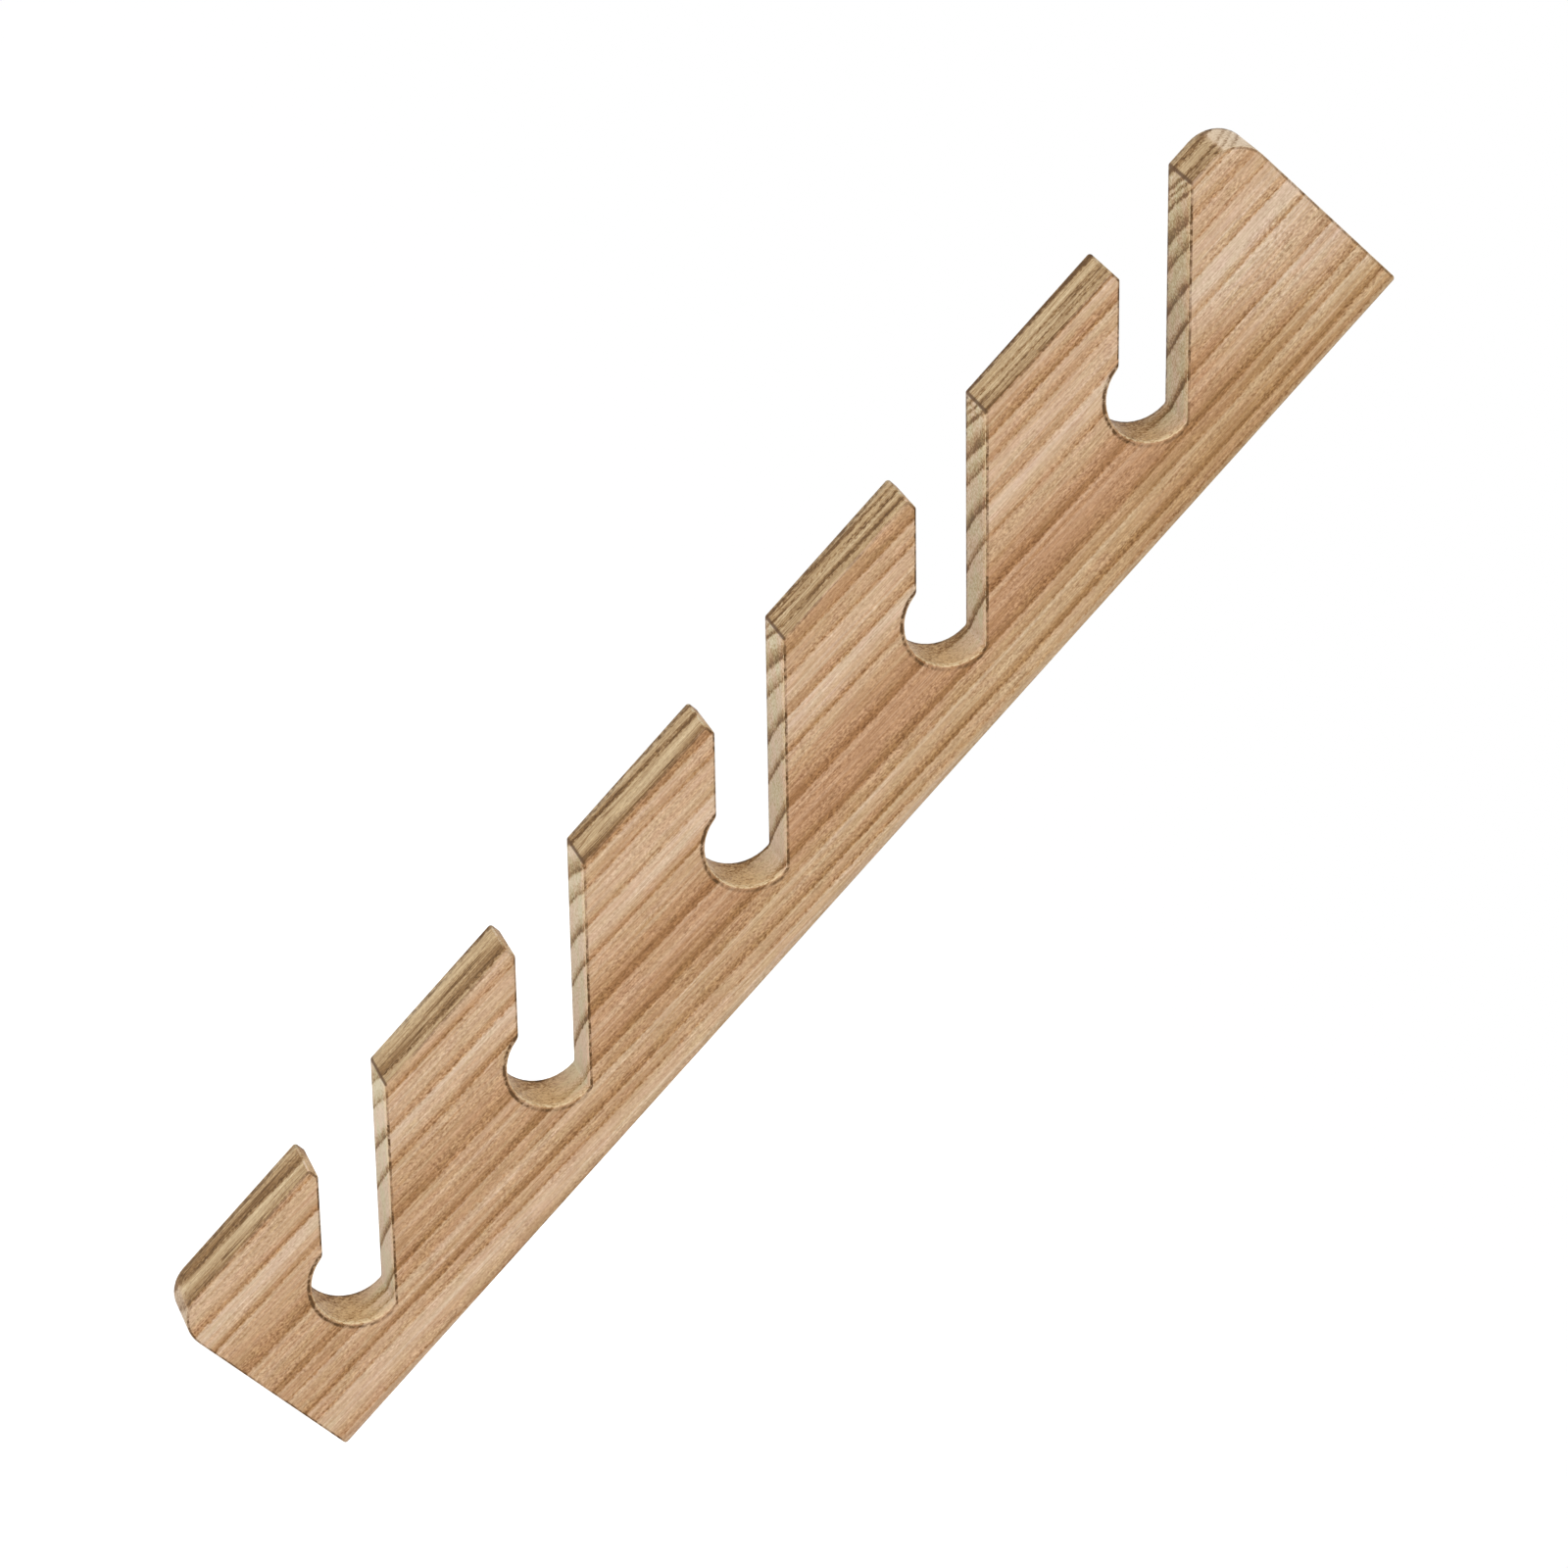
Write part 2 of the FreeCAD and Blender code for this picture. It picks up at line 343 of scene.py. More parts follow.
def tinted(tree, share, plain, tint):
    """Colour plain with share of tint laid over it."""
    node = tree.nodes.new("ShaderNodeMix")
    node.data_type = "RGBA"
    feed(tree, node.inputs["Factor"], share)
    feed(tree, node.inputs["A"], plain)
    feed(tree, node.inputs["B"], tint)
    return node.outputs["Result"]


def cast_over(tree, share, plain, factors):
    """Colour plain with share of factors multiplied into it."""
    shade = tinted(tree, share, plain, factors)
    shade.node.blend_type = "MULTIPLY"
    return shade


def stepped(tree, value, stops):
    """A colour ramp through stops of (place from 0 to 1, colour)."""
    node = tree.nodes.new("ShaderNodeValToRGB")
    ramp = node.color_ramp
    while len(ramp.elements) < len(stops):
        ramp.elements.new(1.0)
    for element, (place, shade) in zip(ramp.elements, stops):
        element.position = place
        element.color = shade
    feed(tree, node.inputs["Fac"], value)
    return node.outputs["Color"]


def shaded(tree, tone, shades):
    """Tone turned into a colour by one of the lists of shades above."""
    return stepped(tree, tone, [(at, colour(*shade)) for at, shade in shades])


def split(tree, vector):
    """The X, Y and Z outputs of a vector."""
    node = tree.nodes.new("ShaderNodeSeparateXYZ")
    feed(tree, node.inputs["Vector"], vector)
    return node.outputs


def mottle(tree, place, cells, detail=2.0, roughness=0.5):
    """Noise from 0 to 1, with so many cells for each unit of place along X, Y and Z."""
    stretched = tree.nodes.new("ShaderNodeVectorMath")
    stretched.operation = "MULTIPLY"
    feed(tree, stretched.inputs[0], place)
    stretched.inputs[1].default_value = cells
    noise = tree.nodes.new("ShaderNodeTexNoise")
    noise.inputs["Scale"].default_value = 1.0
    noise.inputs["Detail"].default_value = detail
    noise.inputs["Roughness"].default_value = roughness
    feed(tree, noise.inputs["Vector"], stretched.outputs["Vector"])
    return noise.outputs["Fac"]


def sway(tree, noise, reach):
    """Noise around its middle, scaled to about plus or minus reach."""
    return product(tree, maths(tree, "SUBTRACT", noise, 0.5), 4 * reach)


def finish_material(name):
    """A new material with its node tree and its plain shader."""
    material = bpy.data.materials.new(name)
    material.use_nodes = True
    tree = material.node_tree
    return material, tree, tree.nodes["Principled BSDF"]


def roughen(tree, shader, height, strength, distance):
    bump = tree.nodes.new("ShaderNodeBump")
    bump.inputs["Strength"].default_value = strength
    bump.inputs["Distance"].default_value = distance
    feed(tree, bump.inputs["Height"], height)
    feed(tree, shader.inputs["Normal"], bump.outputs["Normal"])


# Ash wood. A spot gathers what is known about a point of the board: its height, its hundreds of millimetres
# above the lower end, its depth, its distance from the wall, its growth and its place in the log, and which
# way its surface faces. Outward is 1 on both faces and 0 on the cut edges between them.


def board_spot(tree):
    """The spot of whichever point is being shaded."""
    coordinates = tree.nodes.new("ShaderNodeTexCoord")
    in_mm = tree.nodes.new("ShaderNodeVectorMath")
    in_mm.operation = "SCALE"
    in_mm.inputs["Scale"].default_value = 1 / MM
    feed(tree, in_mm.inputs[0], coordinates.outputs["Object"])
    point = split(tree, in_mm.outputs["Vector"])
    geometry = tree.nodes.new("ShaderNodeNewGeometry")
    spot = SimpleNamespace()
    spot.height = point["Z"]
    spot.hundreds_up = maths(tree, "MULTIPLY_ADD", spot.height, 0.01, BOARD_TOP / 100)
    spot.depth = maths(tree, "SUBTRACT", THICKNESS / 2, point["X"])
    spot.from_wall = maths(tree, "MULTIPLY", point["Y"], -1.0)
    spot.facing = split(tree, geometry.outputs["Normal"])
    spot.outward = maths(tree, "ABSOLUTE", spot.facing["X"])
    place_in_log(tree, spot)
    return spot


def place_in_log(tree, spot):
    """Adds a spot's growth, which wanders a little, and its place for noise that runs with the grain."""
    lean = maths(tree, "MULTIPLY_ADD", spot.from_wall, GRAIN_LEAN_FAN, GRAIN_LEAN)
    bend = maths(tree, "MULTIPLY_ADD", spot.from_wall, GRAIN_BEND_FAN, GRAIN_BEND)
    bend = maths(tree, "MULTIPLY_ADD", spot.hundreds_up, GRAIN_BEND_CHANGE, bend)
    lean = maths(tree, "MULTIPLY_ADD", bend, spot.hundreds_up, lean)
    slope = maths(tree, "MULTIPLY_ADD", spot.from_wall, RING_SLOPE_FAN, RING_SLOPE)
    growth = total(
        tree,
        spot.from_wall,
        product(tree, spot.depth, slope),
        product(tree, lean, spot.hundreds_up),
    )
    along_ring = maths(tree, "MULTIPLY_ADD", spot.from_wall, -0.5, spot.depth)
    log = tree.nodes.new("ShaderNodeCombineXYZ")
    feed(tree, log.inputs["X"], growth)
    feed(tree, log.inputs["Y"], along_ring)
    feed(tree, log.inputs["Z"], spot.height)
    spot.log = log.outputs["Vector"]
    wander = sway(tree, mottle(tree, spot.log, *RING_WANDER), WANDER_REACH)
    ragged = sway(tree, mottle(tree, spot.log, *RAGGED_LINES), RAGGED_REACH)
    spot.growth = total(tree, growth, wander, ragged)


def from_nearest(tree, spot, lowest):
    """Rise, reach and distance from the nearest point in a row from lowest upwards, one for each slot."""
    lowest_height, row_from_wall = lowest
    rise = maths(tree, "SUBTRACT", spot.height, lowest_height - SLOT_PITCH / 2)
    rise = maths(tree, "SUBTRACT", maths(tree, "WRAP", rise, SLOT_PITCH, 0.0), SLOT_PITCH / 2)
    reach = maths(tree, "SUBTRACT", spot.from_wall, row_from_wall)
    distance = maths(tree, "SQRT", total(tree, product(tree, rise, rise), product(tree, reach, reach)))
    return rise, reach, distance


def late_wood(tree, growth, lines):
    """Dark lines that each start sharply at their place and fade over their width."""
    share = maths(tree, "DIVIDE", growth, GROWTH_SPAN)
    ramps = []
    for first in range(0, len(lines), LINES_PER_RAMP):
        stops = [(0.0, grey(0.0))]
        for start, darkness, width in lines[first : first + LINES_PER_RAMP]:
            darkest = start + min(0.4, 0.3 * width)
            stops += [
                ((start - LINE_RISE) / GROWTH_SPAN, grey(0.0)),
                (darkest / GROWTH_SPAN, grey(darkness)),
                ((start + 0.4 * width) / GROWTH_SPAN, grey(0.7 * darkness)),
                ((start + width) / GROWTH_SPAN, grey(0.0)),
            ]
        ramps.append(stepped(tree, share, stops))
    return total(tree, *ramps)


def growth_rings(tree, spot):
    """Tone bands, and the late-wood lines with their rows of open pores."""
    share = maths(tree, "DIVIDE", spot.growth, GROWTH_SPAN)
    bands = stepped(tree, share, [(at / GROWTH_SPAN, grey(tone)) for at, tone in TONE_BANDS])
    strength = spread(tree, mottle(tree, spot.log, *LINE_PATCHES), 0.3, 0.7, 0.75, 1.3)
    open_here = spread(tree, mottle(tree, spot.log, *OPEN_PORES), 0.46, 0.60)
    pore_rows = [(start + PORE_OFFSET, 1.0, PORE_WIDTH) for start, _, _ in LATE_LINES]
    pores = product(tree, late_wood(tree, spot.growth, pore_rows), open_here, strength, PORE_TONE)
    lines = product(tree, late_wood(tree, spot.growth, LATE_LINES), strength)
    return bands, total(tree, lines, pores)


def fine_fibres(tree, spot, bands, lines):
    """Fine streaks and fuzz, from 0, pale, to 1, dark. The fuzz is stronger where the wood is dark."""
    streaks = sway(tree, mottle(tree, spot.log, *FINE_STREAKS), FINE_STREAK_TONE)
    fuzz = sway(tree, mottle(tree, spot.log, *FUZZ), FUZZ_TONE)
    patches = spread(tree, mottle(tree, spot.log, *FUZZ_PATCHES), 0.35, 0.65, 0.6, 1.35)
    strength = total(tree, product(tree, bands, 1.1), lines, 0.45)
    fibres = total(tree, streaks, product(tree, fuzz, patches, strength))
    return spread(tree, fibres, -0.5, 0.5, smooth=False)


def broad_tones(tree, spot):
    """What makes whole stretches darker or paler: the stain, the upper part by the wall, and the top."""
    off_stain = maths(tree, "DIVIDE", maths(tree, "SUBTRACT", spot.growth, STAIN_GROWTH), STAIN_REACH)
    stain = product(
        tree,
        fade(tree, maths(tree, "ABSOLUTE", off_stain), 0.3, 1.0),
        spread(tree, spot.hundreds_up, 0.6, 2.6, 0.0, STAIN_TONE),
        fade(tree, spot.hundreds_up, 3.6, 4.1),
    )
    dark_by_wall = product(
        tree,
        spread(tree, spot.hundreds_up, 3.1, 3.8, 0.0, DARK_BY_WALL_TONE),
        fade(tree, spot.hundreds_up, 4.0, 4.35, 0.2),
        fade(tree, spot.growth, 24.0, 30.0),
    )
    slanting_height = maths(tree, "MULTIPLY_ADD", spot.growth, 0.012, spot.hundreds_up)
    pale_end = product(
        tree,
        spread(tree, slanting_height, 4.35, 4.85, 0.0, PALE_END_TONE),
        spread(tree, spot.growth, 18.0, 32.0),
        fade(tree, spot.growth, 56.0, 64.0, 0.35),
    )
    return stain, dark_by_wall, pale_end


def face_colour(tree, spot, tone, stain, pale_end, fibre_light):
    """Front and back: rosier where it is stained, straw yellow by the wall, and cooler at the pale end."""
    wood = shaded(tree, tone, FACE_SHADES)
    straw = product(
        tree,
        fade(tree, spot.growth, 22.0, 36.0),
        spread(tree, spot.hundreds_up, 0.3, 4.0, 0.0, -0.5),
    )
    rosiness = total(
        tree,
        sway(tree, mottle(tree, spot.log, *ROSE_PATCHES), 0.5),
        0.55,
        product(tree, stain, 3.5),
        product(tree, pale_end, -0.2),
        straw,
    )
    wood = cast_over(tree, 1.0, wood, stepped(tree, rosiness, [(0.0, STRAW_CAST), (1.0, ROSE_CAST)]))
    wood = cast_over(tree, product(tree, pale_end, -3.0), wood, COOL_CAST)
    return cast_over(tree, 1.0, wood, fibre_light)


def cut_places(tree, spot):
    """Where the surface belongs to a cut edge, a slot, an end, a pocket, a tip or the finger edge."""
    cut = SimpleNamespace()
    cut.on_edges = fade(tree, spot.outward, 0.45, 0.75)
    inside = between(tree, spot.from_wall, (3.0, 4.0), (BOARD_DEPTH - 1.4, BOARD_DEPTH - 0.6))
    steep = spread(tree, maths(tree, "ABSOLUTE", spot.facing["Z"]), 0.25, 0.62)
    cut.across_grain = product(tree, highest(tree, inside, steep), cut.on_edges)
    cut.at_ends = spread(tree, maths(tree, "ABSOLUTE", spot.height), BOARD_TOP - 13.0, BOARD_TOP - 9.0)
    pocket_end = POCKET_FROM_WALL + POCKET_RADIUS
    cut.in_pocket = product(
        tree,
        fade(tree, spot.from_wall, pocket_end - 2.8, pocket_end + 4.2),
        spread(tree, spot.facing["Z"], -0.1, 0.7, smooth=False),
    )
    cut.on_tip_flat = product(
        tree,
        spread(tree, spot.facing["Z"], 0.8, 0.95),
        fade(tree, spot.height, BOARD_TOP - 20.0, BOARD_TOP - 15.0),
    )
    finger_side = spread(tree, spot.from_wall, BOARD_DEPTH - 1.2, BOARD_DEPTH - 0.7)
    cut.on_finger_edge = product(tree, cut.on_edges, finger_side, all_but(tree, cut.across_grain))
    cut.by_fingers = spread(tree, spot.from_wall, BOARD_DEPTH - 1.6, BOARD_DEPTH - 0.8)
    return cut


def slot_wall_colour(tree, spot, cut_tone, lines):
    """Pale greyish straw, rosier in patches and along the front, and darker up the board."""
    tone = total(
        tree,
        cut_tone,
        product(tree, lines, LINES_ON_SLOT_WALLS),
        spread(tree, spot.hundreds_up, 0.8, 4.2, -0.08, 0.24, smooth=False),
        spread(tree, spot.from_wall, 22.0, 34.0, -0.14, 0.0),
    )
    patches = spread(tree, mottle(tree, spot.log, *WARM_PATCHES), 0.35, 0.65)
    wood = shaded(tree, tone, SLOT_WALL_SHADES)
    wood = cast_over(tree, 1.0, wood, tinted(tree, patches, GREY_CAST, WARM_CAST))
    return cast_over(tree, product(tree, fade(tree, spot.depth, 2.0, 3.6), 0.8), wood, FRONT_CAST)


def pocket_colour(tree, spot, cut, cut_tone, lines):
    """Golden and speckled, with painted shade at the back of the pocket and on its finger side, and darker
    up the board.
    """
    speckle = sway(tree, mottle(tree, spot.log, *POCKET_SPECKLE), POCKET_SPECKLE_TONE)
    tone = total(
        tree,
        cut_tone,
        product(tree, speckle, cut.in_pocket),
        product(tree, lines, LINES_IN_POCKETS),
        # Painted shade: darker deeper in the pocket, and where its side faces the wall.
        spread(tree, spot.depth, 7.0, 17.0, -0.12, 0.24),
        spread(tree, spot.facing["Y"], -0.5, 0.6, 0.0, 0.25),
        spread(tree, spot.hundreds_up, 2.6, 3.8, 0.0, 0.16),
        product(tree, cut.on_tip_flat, 0.06),
        0.05,
    )
    return shaded(tree, tone, POCKET_SHADES)


def end_colour(tree, spot, cut_tone, lines):
    """End grain, paler at the upper end."""
    tone = total(
        tree,
        cut_tone,
        product(tree, lines, LINES_ON_ENDS),
        spread(tree, spot.height, 25.0 - BOARD_TOP, BOARD_TOP - 25.0, 0.26, -0.06),
    )
    return shaded(tree, tone, END_SHADES)


def finger_edge_colour(tree, spot, bands, lines, long_streaks, fibre_light):
    """Duller straw, where the late lines and some thin ones stand out, darker along the front."""
    crossing = maths(tree, "SUBTRACT", mottle(tree, spot.log, *THIN_LINES), 0.5)
    tone = total(
        tree,
        bands,
        product(tree, lines, LINES_ON_FINGERS),
        spread(tree, maths(tree, "ABSOLUTE", crossing), 0.006, 0.03, THIN_LINE_TONE, 0.0),
        product(tree, long_streaks, STREAKS_ON_FINGERS),
        spread(tree, spot.depth, 2.0, 6.0, 0.10, -0.07),
    )
    return cast_over(tree, 1.0, shaded(tree, tone, FINGER_SHADES), fibre_light)


def pocket_rims(tree, spot):
    """The wood close round each pocket, and the painted shade line in it, which is stronger towards the
    fingers.
    """
    rise, reach, radius = from_nearest(tree, spot, LOWEST_POCKET)
    high_wall = SLOT_WIDTH / math.sqrt(2)
    close = product(
        tree,
        fade(tree, radius, POCKET_RADIUS + 1.9, POCKET_RADIUS + 2.5),
        fade(tree, maths(tree, "SUBTRACT", rise, reach), high_wall - 2.1, high_wall - 0.9),
        fade(tree, spot.height, BOARD_TOP - 40.0, BOARD_TOP - 35.0),
    )
    line = product(
        tree,
        close,
        between(tree, radius, *POCKET_LINE_BAND),
        spread(tree, spot.outward, 0.2, 0.4),
        spread(tree, reach, -12.0, 4.0, 0.8, 1.45),
    )
    return close, line


def painted_edge_shade(tree, spot, cut, lines, by_pocket, pocket_line):
    """Painted shade: a dark, uneven line on both faces' rounded edges and round the pockets. It is faint
    along the wall.
    """
    front_line = product(
        tree,
        between(tree, spot.outward, *EDGE_SHADE_BAND),
        fade(tree, spot.from_wall, BOARD_DEPTH - 4.0, BOARD_DEPTH - 1.0, 0.55),
        fade(tree, spot.height, BOARD_TOP - 10.0, BOARD_TOP - 3.0, 0.7),
        all_but(tree, by_pocket),
    )
    rear_share = highest(
        tree,
        cut.in_pocket,
        spread(tree, spot.hundreds_up, 1.4, 3.8, 0.35, 1.0),
        product(tree, cut.by_fingers, 0.7),
    )
    rear_line = product(
        tree,
        spread(tree, total(tree, spot.depth, cut.by_fingers), THICKNESS - 2.4, THICKNESS - 1.1),
        fade(tree, spot.outward, 0.6, 0.8),
        rear_share,
    )
    dashes = spread(tree, mottle(tree, spot.log, *EDGE_SHADE_DASHES), 0.36, 0.62, 0.3, 1.15)
    stretches = spread(tree, mottle(tree, spot.log, *EDGE_SHADE_STRETCHES), 0.36, 0.56, 0.5, 1.0)
    uneven = total(tree, product(tree, dashes, stretches, 0.9), product(tree, lines, 0.6))
    off_wall = spread(tree, spot.from_wall, 0.8, 2.5, 0.3, 1.0)
    edge_shade_share = product(tree, highest(tree, front_line, pocket_line, rear_line), uneven, off_wall)
    return maths(tree, "MINIMUM", edge_shade_share, 1.0)


def painted_edge_highlight(tree, spot, cut, by_pocket):
    """Painted highlight: light dots on the rounded front edge, inside its dark line, where the edge turns to
    the light, and round the pockets. The fingers have none.
    """
    along_slots = product(
        tree,
        between(tree, spot.outward, *EDGE_HIGHLIGHT_BAND),
        spread(tree, spot.facing["X"], 0.0, 0.05),
        all_but(tree, cut.by_fingers),
        cut.on_edges,
    )
    round_pockets = product(
        tree,
        by_pocket,
        fade(tree, spot.depth, 1.2, 2.8),
        fade(tree, spot.outward, 0.60, 0.85),
    )
    dots = spread(tree, mottle(tree, spot.log, *EDGE_HIGHLIGHT_DOTS), 0.42, 0.58, 0.1, 1.0)
    return product(tree, highest(tree, along_slots, round_pockets), dots)


def with_edges(tree, spot, cut, lines, wood):
    """Wood colour with painted highlight and painted shade on the rounded edges, painted shade along the
    wall edge, and a painted dark line along each heel.
    """
    by_pocket, pocket_line = pocket_rims(tree, spot)
    edge_shade_share = painted_edge_shade(tree, spot, cut, lines, by_pocket, pocket_line)
    # Painted highlight on the rounded front edges and round the pockets.
    wood = tinted(tree, painted_edge_highlight(tree, spot, cut, by_pocket), wood, colour(*EDGE_HIGHLIGHT_COLOUR))
    # Painted shade along the rounded edges.
    wood = tinted(tree, edge_shade_share, wood, colour(*EDGE_SHADE_COLOUR))
    # Painted shade: a darker line on the rounded wall edge.
    wall_line = product(
        tree,
        between(tree, spot.from_wall, *WALL_LINE_BAND),
        spread(tree, spot.outward, 0.6, 0.8, 0.0, 0.22),
    )
    wood = tinted(tree, wall_line, wood, colour(*CORNER_SHADE_COLOUR))
    # Painted shade: a dark line along each heel's edge.
    _, _, from_heel = from_nearest(tree, spot, LOWEST_HEEL)
    lowest_height, _ = LOWEST_HEEL
    heel = product(
        tree,
        spread(tree, from_heel, 0.3, 0.9, 0.9, 0.0),
        spread(tree, spot.height, lowest_height - 17.5, lowest_height - 12.5),
    )
    return tinted(tree, heel, wood, colour(*CORNER_SHADE_COLOUR))


def ash_wood():
    """Sanded ash under a thin matt oil: growth rings, streaks, open pores, cut faces and eased edges, with
    painted shade and painted highlight along the edges and painted shade in the pockets.
    """
    material, tree, shader = finish_material("ash_wood")
    spot = board_spot(tree)
    bands, lines = growth_rings(tree, spot)
    fibres = fine_fibres(tree, spot, bands, lines)
    fibre_light = tinted(tree, fibres, PALE_FIBRE, DARK_FIBRE)
    long_streaks = sway(tree, mottle(tree, spot.log, *LONG_STREAKS), LONG_STREAK_TONE)
    stain, dark_by_wall, pale_end = broad_tones(tree, spot)
    tone = total(tree, bands, lines, stain, dark_by_wall, pale_end, long_streaks)
    wood = face_colour(tree, spot, tone, stain, pale_end, fibre_light)

    cut = cut_places(tree, spot)
    speckle = sway(tree, mottle(tree, spot.log, *CUT_SPECKLE), CUT_SPECKLE_TONE)
    cut_tone = total(tree, product(tree, long_streaks, STREAKS_ON_CUTS), speckle, 0.20)
    cut_wood = slot_wall_colour(tree, spot, cut_tone, lines)
    bored = highest(tree, cut.in_pocket, cut.on_tip_flat)
    cut_wood = tinted(tree, bored, cut_wood, pocket_colour(tree, spot, cut, cut_tone, lines))
    cut_wood = tinted(tree, cut.at_ends, cut_wood, end_colour(tree, spot, cut_tone, lines))
    wood = tinted(tree, cut.across_grain, wood, cut_wood)
    finger_wood = finger_edge_colour(tree, spot, bands, lines, long_streaks, fibre_light)
    wood = tinted(tree, cut.on_finger_edge, wood, finger_wood)
    wood = with_edges(tree, spot, cut, lines, wood)

    feed(tree, shader.inputs["Base Color"], wood)
    feed(tree, shader.inputs["Roughness"], spread(tree, tone, 0.0, 1.0, 0.52, 0.72))
    shader.inputs["Specular IOR Level"].default_value = 0.18
    roughen(tree, shader, all_but(tree, fibres), strength=0.4, distance=0.08 * MM)
    return material


# Zinc-plated steel.


def zinc_skin():
    """Node group for zinc plating: cloudy crystals, fine rubbing marks, and chamfers worn bright."""
    group = bpy.data.node_groups.new("zinc_skin", "ShaderNodeTree")
    for name, kind in SKIN_INPUTS:
        group.interface.new_socket(name, in_out="INPUT", socket_type=kind)
    for name, kind in SKIN_OUTPUTS:
        group.interface.new_socket(name, in_out="OUTPUT", socket_type=kind)
    given = group.nodes.new("NodeGroupInput").outputs
    result = group.nodes.new("NodeGroupOutput").inputs

    coordinates = group.nodes.new("ShaderNodeTexCoord")
    in_crystals = group.nodes.new("ShaderNodeVectorMath")
    in_crystals.operation = "SCALE"
    feed(group, in_crystals.inputs[0], coordinates.outputs["Object"])
    feed(group, in_crystals.inputs["Scale"], maths(group, "DIVIDE", 1 / MM, given["Crystal Size"]))
    in_crystals = in_crystals.outputs["Vector"]
    cells = group.nodes.new("ShaderNodeTexVoronoi")
    cells.inputs["Scale"].default_value = 1.0
    feed(group, cells.inputs["Vector"], in_crystals)
    cell_tone = group.nodes.new("ShaderNodeSeparateColor")
    feed(group, cell_tone.inputs["Color"], cells.outputs["Color"])
    cloud = mottle(group, in_crystals, (0.35, 0.35, 0.35), detail=3.0, roughness=0.6)
    cloud = spread(group, cloud, 0.3, 0.7)
    bloom = total(group, product(group, cell_tone.outputs["Red"], 0.35), product(group, cloud, 0.65))

    scratches = mottle(group, coordinates.outputs["Object"], (6.0 / MM, 6.0 / MM, 0.35 / MM), roughness=0.7)
    marks = product(group, spread(group, scratches, 0.56, 0.70), given["Rubbing"])

    geometry = group.nodes.new("ShaderNodeNewGeometry")
    tilt = maths(group, "ABSOLUTE", split(group, geometry.outputs["Normal"])["Y"])
    patches = spread(group, mottle(group, in_crystals, (0.8, 0.8, 0.8)), 0.35, 0.6, 0.3, 1.0)
    worn = product(group, between(group, tilt, (0.3, 0.5), (0.85, 0.95)), patches, given["Wear"])

    shade = tinted(group, bloom, given["Dull Shade"], given["Bright Shade"])
    shade = tinted(group, highest(group, product(group, marks, 0.5), worn), shade, given["Worn Shade"])
    feed(group, result["Colour"], shade)
    roughness = total(
        group,
        given["Roughest"],
        product(group, bloom, maths(group, "SUBTRACT", given["Smoothest"], given["Roughest"])),
        product(group, worn, -0.12),
    )
    feed(group, result["Roughness"], roughness)
    feed(group, result["Height"], total(group, bloom, product(group, marks, -0.6)))
    return group


def zinc_steel(name, skin, dull, bright, crystal_size, smoothest, roughest, rubbing, wear):
    """Zinc-plated steel; crystal_size is in millimetres."""
    material, tree, shader = finish_material(name)
    plating = tree.nodes.new("ShaderNodeGroup")
    plating.node_tree = skin
    plating.inputs["Dull Shade"].default_value = dull
    plating.inputs["Bright Shade"].default_value = bright
    plating.inputs["Worn Shade"].default_value = BARE_STEEL
    plating.inputs["Crystal Size"].default_value = crystal_size
    plating.inputs["Smoothest"].default_value = smoothest
    plating.inputs["Roughest"].default_value = roughest
    plating.inputs["Rubbing"].default_value = rubbing
    plating.inputs["Wear"].default_value = wear
    feed(tree, shader.inputs["Base Color"], plating.outputs["Colour"])
    feed(tree, shader.inputs["Roughness"], plating.outputs["Roughness"])
    shader.inputs["Metallic"].default_value = 1.0
    roughen(tree, shader, plating.outputs["Height"], strength=0.25, distance=0.02 * MM)
    return material


def dress(node, material):
    node.data.materials.clear()
    node.data.materials.append(material)


# Room and camera.


def studio_floor():
    low, _ = cad_box
    bpy.ops.mesh.primitive_plane_add(size=FLOOR_SIDE, location=(0.0, 0.0, low.z - FLOOR_DROP))
    floor = bpy.context.object
    floor.name = "studio_floor"
    material, _, shader = finish_material("studio_floor")
    shader.inputs["Base Color"].default_value = grey(1.0)
    shader.inputs["Roughness"].default_value = 1.0
    shader.inputs["Specular IOR Level"].default_value = 0.0
    floor.data.materials.append(material)


def studio_room():
    world = bpy.data.worlds.new("studio_room")
    world.use_nodes = True
    background = world.node_tree.nodes["Background"]
    background.inputs["Color"].default_value = grey(1.0)
    background.inputs["Strength"].default_value = ROOM_BRIGHTNESS
    bpy.context.scene.world = world


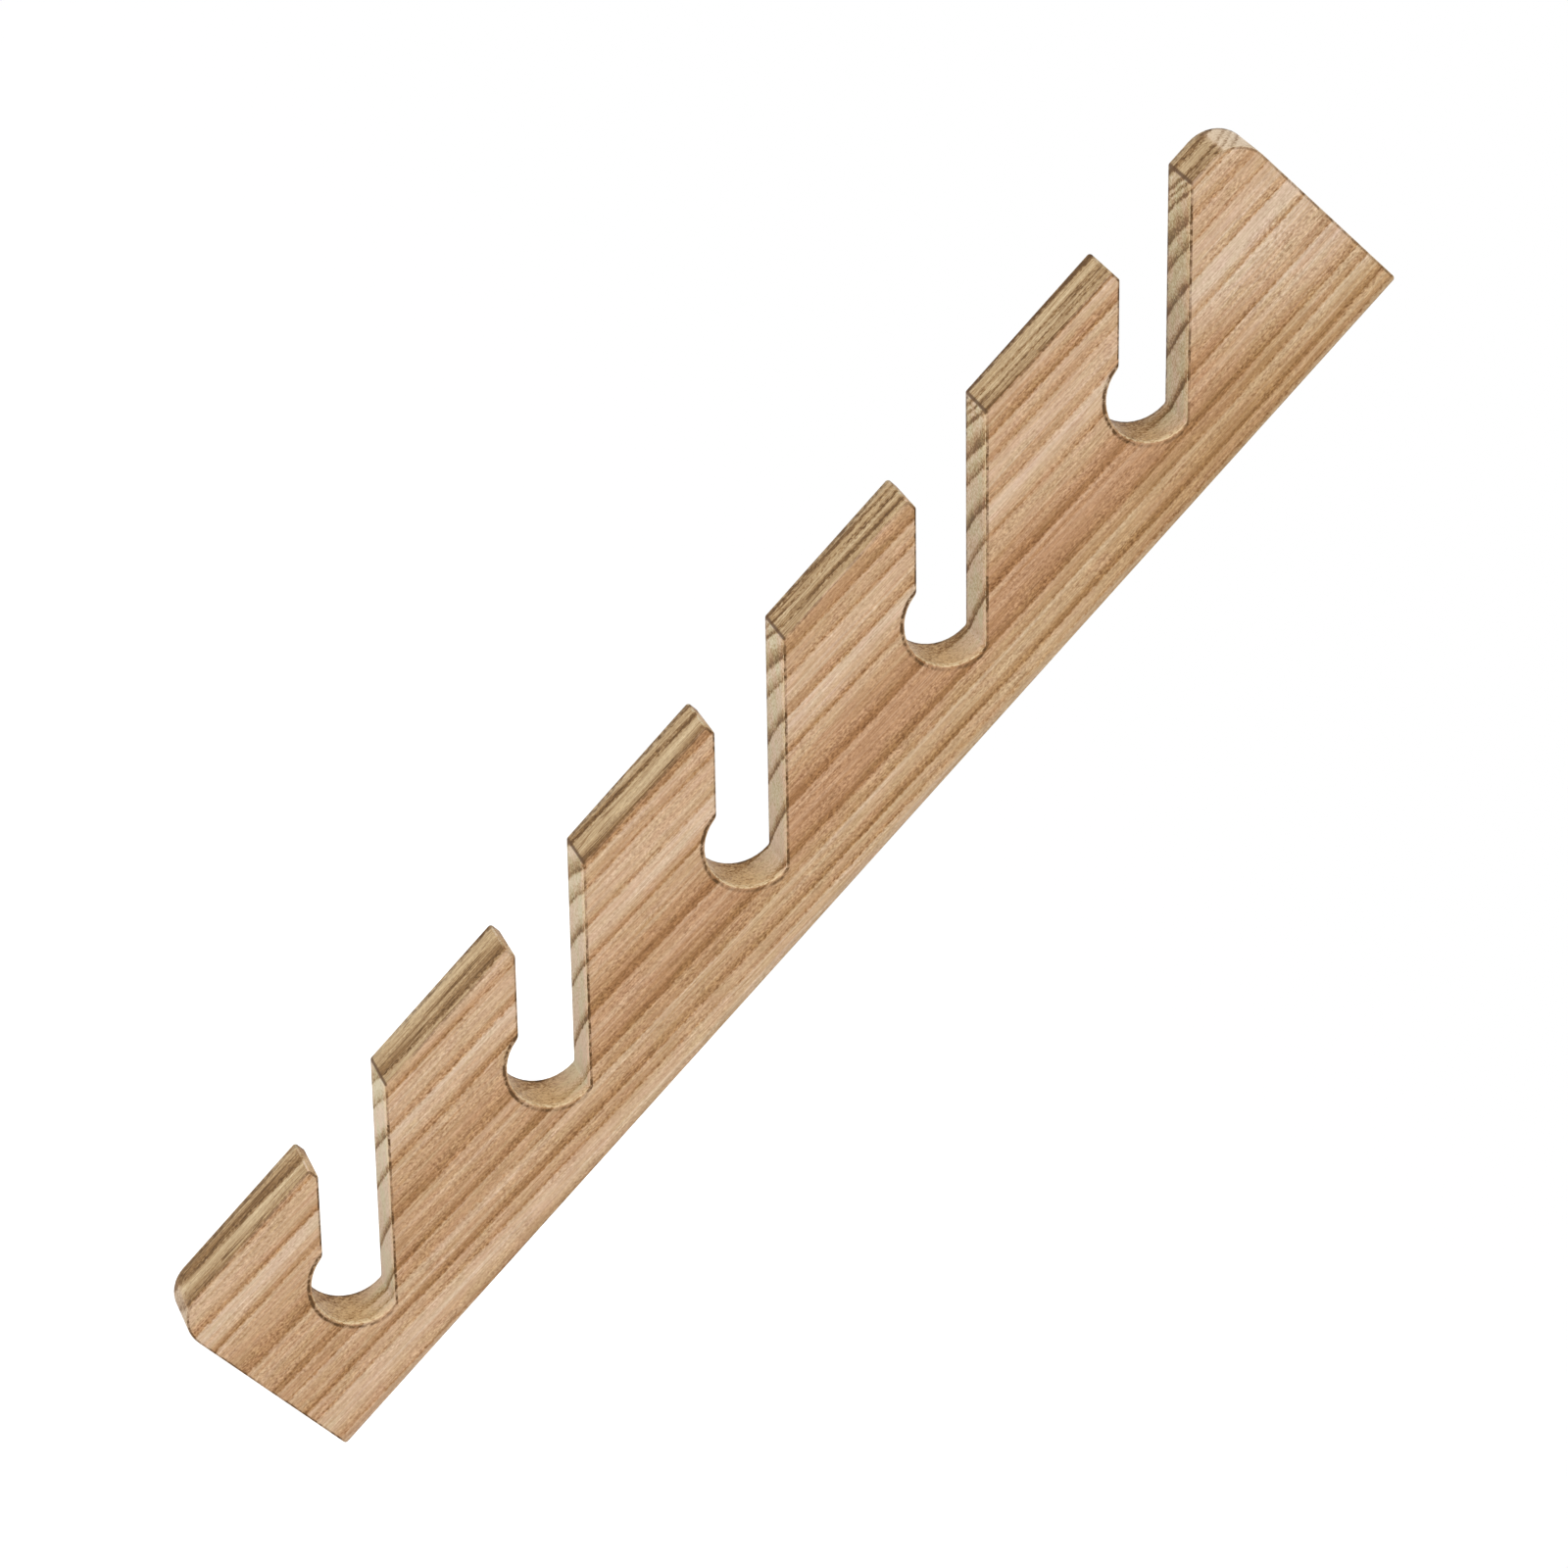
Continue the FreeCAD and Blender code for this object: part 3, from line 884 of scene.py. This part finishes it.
def lamp(name, place, side, watts):
    """A square lamp that faces the board."""
    data = bpy.data.lights.new(name, "AREA")
    data.shape = "SQUARE"
    data.size = side
    data.energy = watts
    lamp_object = bpy.data.objects.new(name, data)
    lamp_object.location = place
    lamp_object.rotation_mode = "QUATERNION"
    lamp_object.rotation_quaternion = (AIM - Vector(place)).to_track_quat("-Z", "Y")
    bpy.context.scene.collection.objects.link(lamp_object)


def camera():
    azimuth, elevation, roll = (math.radians(angle) for angle in (AZIMUTH, ELEVATION, ROLL))
    back = Vector((
        math.sin(azimuth) * math.cos(elevation),
        -math.cos(azimuth) * math.cos(elevation),
        math.sin(elevation),
    ))
    forward = -back
    level = forward.cross(Vector((0, 0, 1))).normalized()
    plumb = level.cross(forward)
    up = math.cos(roll) * plumb + math.sin(roll) * level
    right = forward.cross(up)
    turn = Matrix((right, up, back)).transposed()
    data = bpy.data.cameras.new("camera")
    data.lens = LENS
    data.sensor_width = SENSOR
    view = bpy.data.objects.new("camera", data)
    view.matrix_world = Matrix.Translation(AIM + back * DISTANCE) @ turn.to_4x4()
    bpy.context.scene.collection.objects.link(view)
    bpy.context.scene.camera = view


dress(nodes["rack_board"], ash_wood())
skin = zinc_skin()
plate_zinc = zinc_steel(
    "zinc_plate",
    skin,
    dull=(0.42, 0.43, 0.45, 1.0),
    bright=(0.62, 0.63, 0.65, 1.0),
    crystal_size=1.6,
    smoothest=0.28,
    roughest=0.46,
    rubbing=1.0,
    wear=0.8,
)
screw_zinc = zinc_steel(
    "screw_steel",
    skin,
    dull=(0.40, 0.40, 0.41, 1.0),
    bright=(0.58, 0.57, 0.55, 1.0),
    crystal_size=0.7,
    smoothest=0.20,
    roughest=0.36,
    rubbing=0.4,
    wear=1.0,
)
dress(nodes["lower_keyhole_plate"], plate_zinc)
dress(nodes["upper_keyhole_plate"], plate_zinc)
dress(nodes["plate_screws"], screw_zinc)
studio_floor()
studio_room()
for name, place, side, watts in LAMPS:
    lamp(name, place, side, watts)
camera()
bpy.context.scene.view_settings.view_transform = "Standard"
